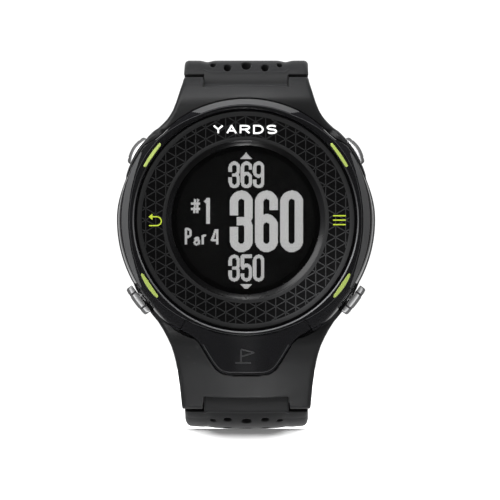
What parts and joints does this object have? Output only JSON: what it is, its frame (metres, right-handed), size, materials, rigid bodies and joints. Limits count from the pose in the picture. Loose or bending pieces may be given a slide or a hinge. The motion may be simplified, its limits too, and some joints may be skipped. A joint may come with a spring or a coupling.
{
  "type": "golf gps watch",
  "caption": "Round golf GPS wristwatch with a touch display, steel side buttons, a glossy antenna tongue, lime accents and a two-piece buckled rubber strap.",
  "frame": {"origin": "on the dial axis at the flat case back", "axes": "-Y out of the dial, +Z towards 12 o'clock, +X towards 3 o'clock"},
  "size_m": [0.046, 0.09, 0.0659],
  "materials": {
    "case_matte": "fine matte texture",
    "case_gloss": "glossy with polished facets",
    "bezel_matte": "satin with printed lattice",
    "lime_accent": "semi-gloss lime",
    "lens_glass": "smooth hard-coated",
    "film_glass": "clear film",
    "display": "transflective panel",
    "light_guide": "white diffuser",
    "inner_plastic": "moulded",
    "board": "solder mask",
    "chip_plastic": "moulded package",
    "shield_metal": "stamped",
    "screw_steel": "machined",
    "spring_steel": "drawn",
    "motor_steel": "stamped",
    "flex": "amber film",
    "patch_ceramic": "fired",
    "battery_foil": "foil pouch",
    "brass": "stamped",
    "seal_rubber": "moulded",
    "back_plastic": "fine texture, smooth centre",
    "contact_gold": "gold plated",
    "button_steel": "polished face, brushed sides",
    "strap_rubber": "soft matte",
    "buckle_steel": "brushed dark steel"
  },
  "bodies": {
    "case": {"case_chassis": "case_matte", "top_case": "case_gloss", "accent_inserts": "lime_accent", "antenna_cover": "case_gloss", "bezel_ring": "bezel_matte", "lens": "lens_glass", "lens_gasket": "seal_rubber", "touch_sensor": "film_glass", "display_module": "display", "backlight_unit": "light_guide", "display_frame": "inner_plastic", "main_board": "board", "board_screws": "screw_steel", "shield_can": "shield_metal", "board_chips": "chip_plastic", "side_switches": "chip_plastic", "display_flex_cable": "flex", "gps_patch_antenna": "patch_ceramic", "antenna_cable": "flex", "battery": "battery_foil", "vibration_motor": "motor_steel", "piezo_buzzer": "brass", "case_seal": "seal_rubber", "back_cover": "back_plastic", "charging_contacts": "contact_gold", "contact_block": "inner_plastic", "back_cover_screws": "screw_steel", "button_spring_upper_right": "spring_steel", "button_spring_upper_left": "spring_steel", "button_spring_lower_right": "spring_steel", "button_spring_lower_left": "spring_steel", "lug_pins": "screw_steel", "lug_screws": "screw_steel"},
    "strap_upper": {"strap_upper": "strap_rubber", "fixed_keeper": "strap_rubber", "buckle_pin": "buckle_steel"},
    "free_keeper": {"free_keeper": "strap_rubber"},
    "buckle": {"buckle_frame": "buckle_steel"},
    "tang": {"buckle_tang": "buckle_steel"},
    "strap_lower": {"strap_lower": "strap_rubber"},
    "button_upper_right": {"button_cap_upper_right": "button_steel", "button_clip_upper_right": "spring_steel", "button_seal_upper_right": "seal_rubber"},
    "button_upper_left": {"button_cap_upper_left": "button_steel", "button_clip_upper_left": "spring_steel", "button_seal_upper_left": "seal_rubber"},
    "button_lower_right": {"button_cap_lower_right": "button_steel", "button_clip_lower_right": "spring_steel", "button_seal_lower_right": "seal_rubber"},
    "button_lower_left": {"button_cap_lower_left": "button_steel", "button_clip_lower_left": "spring_steel", "button_seal_lower_left": "seal_rubber"}
  },
  "joints": [
    {"name": "upper_strap_hinge", "type": "hinge", "parent": "case", "child": "strap_upper", "pos_m": [0, -0.0046, 0.0228], "axis": [1, 0, 0], "range_deg": [-5, 15]},
    {"name": "lower_strap_hinge", "type": "hinge", "parent": "case", "child": "strap_lower", "pos_m": [0, -0.0014, -0.0298], "axis": [1, 0, 0], "range_deg": [-15, 5]},
    {"name": "buckle_hinge", "type": "hinge", "parent": "strap_upper", "child": "buckle", "pos_m": [0, 0.0505, 0.01266], "axis": [1, 0, 0], "range_deg": [-8, 55]},
    {"name": "tang_hinge", "type": "hinge", "parent": "buckle", "child": "tang", "pos_m": [0, 0.0505, 0.01266], "axis": [1, 0, 0], "range_deg": [0, 45]},
    {"name": "keeper_slide", "type": "slide", "parent": "strap_upper", "child": "free_keeper", "axis": [0, 0.9075, -0.42], "range_m": [-0.004, 0.0038]},
    {"name": "press_upper_right", "type": "slide", "parent": "case", "child": "button_upper_right", "axis": [-0.8434, 0, -0.5373], "range_m": [0, 0.0006], "stiffness_N_per_m": 900, "deforming": ["button_spring_upper_right"]},
    {"name": "press_upper_left", "type": "slide", "parent": "case", "child": "button_upper_left", "axis": [0.8434, 0, -0.5373], "range_m": [0, 0.0006], "stiffness_N_per_m": 900, "deforming": ["button_spring_upper_left"]},
    {"name": "press_lower_right", "type": "slide", "parent": "case", "child": "button_lower_right", "axis": [-0.8018, 0, 0.5976], "range_m": [0, 0.0006], "stiffness_N_per_m": 900, "deforming": ["button_spring_lower_right"]},
    {"name": "press_lower_left", "type": "slide", "parent": "case", "child": "button_lower_left", "axis": [0.8018, 0, 0.5976], "range_m": [0, 0.0006], "stiffness_N_per_m": 900, "deforming": ["button_spring_lower_left"]}
  ]
}
